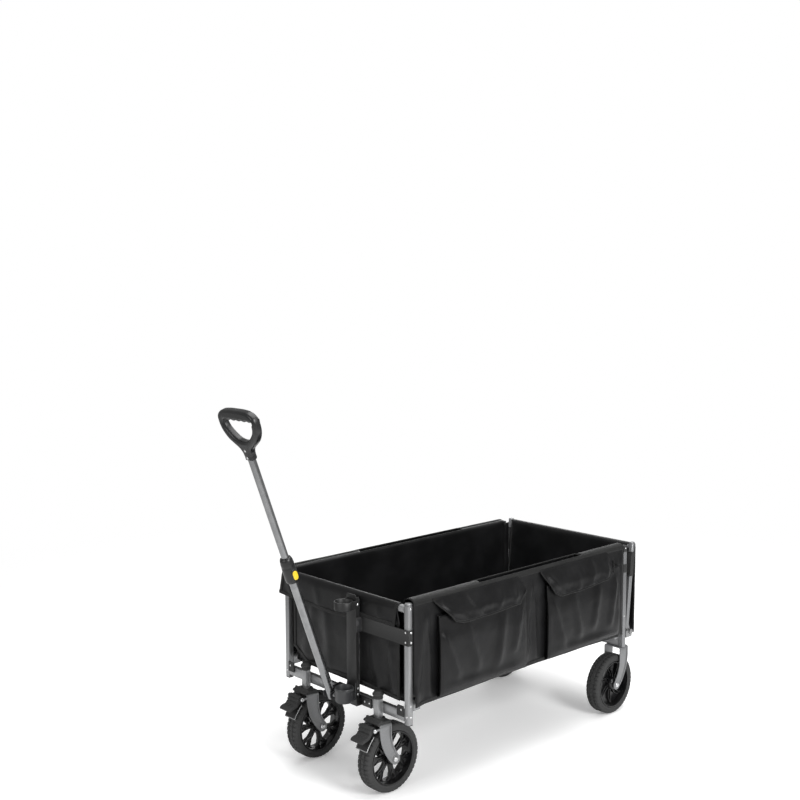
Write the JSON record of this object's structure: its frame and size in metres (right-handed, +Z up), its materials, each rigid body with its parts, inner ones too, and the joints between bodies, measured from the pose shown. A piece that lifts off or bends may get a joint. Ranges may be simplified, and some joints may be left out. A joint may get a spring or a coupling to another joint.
{
  "type": "folding utility wagon",
  "caption": "Folding four-wheel utility wagon with a fabric tub, side pockets, swivel front casters with brakes, a telescopic pull handle, a drop tailgate and a pole holder.",
  "frame": {"origin": "on the floor under the middle of the bounding box", "axes": "+X to the wagon's right as seen from behind the tailgate looking at the handle's back, across the wagon; -Y towards the pull handle, +Y towards the tailgate, along the wagon; +Z up"},
  "size_m": [0.5486, 1.3026, 1.007],
  "materials": {
    "frame_steel": "silver grey powder coat",
    "dark_steel": "dark grey satin coat",
    "black_steel": "black satin powder coat",
    "zinc": "bright zinc plating",
    "black_plastic": "black moulded, fine grain",
    "dark_plastic": "dark grey moulded, fine grain",
    "rubber": "dark grey, slightly dusty",
    "yellow": "yellow moulded",
    "fabric": "black coated plain weave"
  },
  "bodies": {
    "frame": {"front_post_left": "frame_steel", "front_post_right": "frame_steel", "front_top_tube": "frame_steel", "front_cross_tube": "frame_steel", "caster_post_left": "frame_steel", "caster_post_right": "frame_steel", "caster_post_cap_left": "black_plastic", "caster_post_cap_right": "black_plastic", "arm_bracket_left": "frame_steel", "arm_bracket_right": "frame_steel", "pole_column": "black_steel", "pole_ring": "black_steel", "pole_cup": "dark_plastic", "stay_strap": "black_steel", "handle_bracket": "dark_steel", "handle_pin": "zinc", "bag_front": "fabric", "bag_side_left": "fabric", "bag_side_right": "fabric", "bag_floor": "fabric", "base_mat": "fabric"},
    "handle": {"handle_tube_lower": "frame_steel", "handle_collar": "dark_plastic"},
    "handle_inner": {"handle_tube_upper": "frame_steel", "handle_grip": "dark_plastic"},
    "handle_button": {"handle_button": "yellow"},
    "caster_left": {"caster_fork_left": "frame_steel", "caster_cover_left": "black_plastic", "caster_axle_left": "zinc"},
    "caster_right": {"caster_fork_right": "frame_steel", "caster_cover_right": "black_plastic", "caster_axle_right": "zinc"},
    "brake_left": {"brake_pedal_left": "black_plastic"},
    "brake_right": {"brake_pedal_right": "black_plastic"},
    "wheel_front_left": {"front_wheel_left_tyre": "rubber", "front_wheel_left_hub": "black_plastic"},
    "wheel_front_right": {"front_wheel_right_tyre": "rubber", "front_wheel_right_hub": "black_plastic"},
    "front_arms": {"front_arm_left": "frame_steel", "front_arm_right": "frame_steel"},
    "rear_arms": {"rear_arm_left": "frame_steel", "rear_arm_right": "frame_steel"},
    "rear_frame": {"rear_post_left": "frame_steel", "rear_post_right": "frame_steel", "rear_cross_tube": "frame_steel", "rear_fork_left": "frame_steel", "rear_fork_right": "frame_steel", "rear_axle_left": "zinc", "rear_axle_right": "zinc", "rear_bracket_left": "frame_steel", "rear_bracket_right": "frame_steel"},
    "wheel_rear_left": {"rear_wheel_left_tyre": "rubber", "rear_wheel_left_hub": "black_plastic"},
    "wheel_rear_right": {"rear_wheel_right_tyre": "rubber", "rear_wheel_right_hub": "black_plastic"},
    "tailgate": {"gate_upright_left": "frame_steel", "gate_upright_right": "frame_steel", "gate_top_tube": "frame_steel", "bag_rear": "fabric"}
  },
  "joints": [
    {"name": "fold", "type": "hinge", "parent": "frame", "child": "front_arms", "pos_m": [0, -0.2817, 0.254], "axis": [1, 0, 0], "range_deg": [0, 52], "deforming": ["bag_side_left", "bag_side_right", "bag_floor", "base_mat"]},
    {"name": "fold_mid", "type": "hinge", "parent": "front_arms", "child": "rear_arms", "pos_m": [0, 0.1423, 0.47004], "axis": [1, 0, 0], "range_deg": [-104, 0]},
    {"name": "fold_rear", "type": "hinge", "parent": "rear_arms", "child": "rear_frame", "pos_m": [0, 0.5663, 0.254], "axis": [1, 0, 0], "range_deg": [0, 52]},
    {"name": "tailgate", "type": "hinge", "parent": "rear_frame", "child": "tailgate", "pos_m": [0, 0.6161, 0.2467], "axis": [1, 0, 0], "range_deg": [-90, 0]},
    {"name": "handle_tilt", "type": "hinge", "parent": "frame", "child": "handle", "pos_m": [0, -0.3547, 0.2345], "axis": [1, 0, 0], "range_deg": [-20, 70]},
    {"name": "handle_extend", "type": "slide", "parent": "handle", "child": "handle_inner", "axis": [0, -0.3486, 0.9373], "range_m": [-0.24, 0]},
    {"name": "handle_button", "type": "slide", "parent": "handle", "child": "handle_button", "axis": [-1, 0, 0], "range_m": [0, 0.003], "stiffness_N_per_m": 900, "springref_m": -0.001},
    {"name": "caster_swivel_left", "type": "hinge", "parent": "frame", "child": "caster_left", "pos_m": [-0.147, -0.321, 0.193], "axis": [0, 0, 1], "continuous": true},
    {"name": "caster_swivel_right", "type": "hinge", "parent": "frame", "child": "caster_right", "pos_m": [0.147, -0.321, 0.193], "axis": [0, 0, 1], "continuous": true},
    {"name": "wheel_spin_front_left", "type": "hinge", "parent": "caster_left", "child": "wheel_front_left", "pos_m": [-0.147, -0.287, 0.09], "axis": [1, 0, 0], "continuous": true},
    {"name": "wheel_spin_front_right", "type": "hinge", "parent": "caster_right", "child": "wheel_front_right", "pos_m": [0.147, -0.287, 0.09], "axis": [1, 0, 0], "continuous": true},
    {"name": "brake_left", "type": "hinge", "parent": "caster_left", "child": "brake_left", "pos_m": [-0.147, -0.357, 0.183], "axis": [1, 0, 0], "range_deg": [0, 9]},
    {"name": "brake_right", "type": "hinge", "parent": "caster_right", "child": "brake_right", "pos_m": [0.147, -0.357, 0.183], "axis": [1, 0, 0], "range_deg": [0, 9]},
    {"name": "wheel_spin_rear_left", "type": "hinge", "parent": "rear_frame", "child": "wheel_rear_left", "pos_m": [-0.217, 0.5613, 0.09], "axis": [1, 0, 0], "continuous": true},
    {"name": "wheel_spin_rear_right", "type": "hinge", "parent": "rear_frame", "child": "wheel_rear_right", "pos_m": [0.217, 0.5613, 0.09], "axis": [1, 0, 0], "continuous": true}
  ],
  "couplings": [
    {"joint": "fold_mid", "follows": "fold", "ratio": -2},
    {"joint": "fold_rear", "follows": "fold", "ratio": 1}
  ]
}
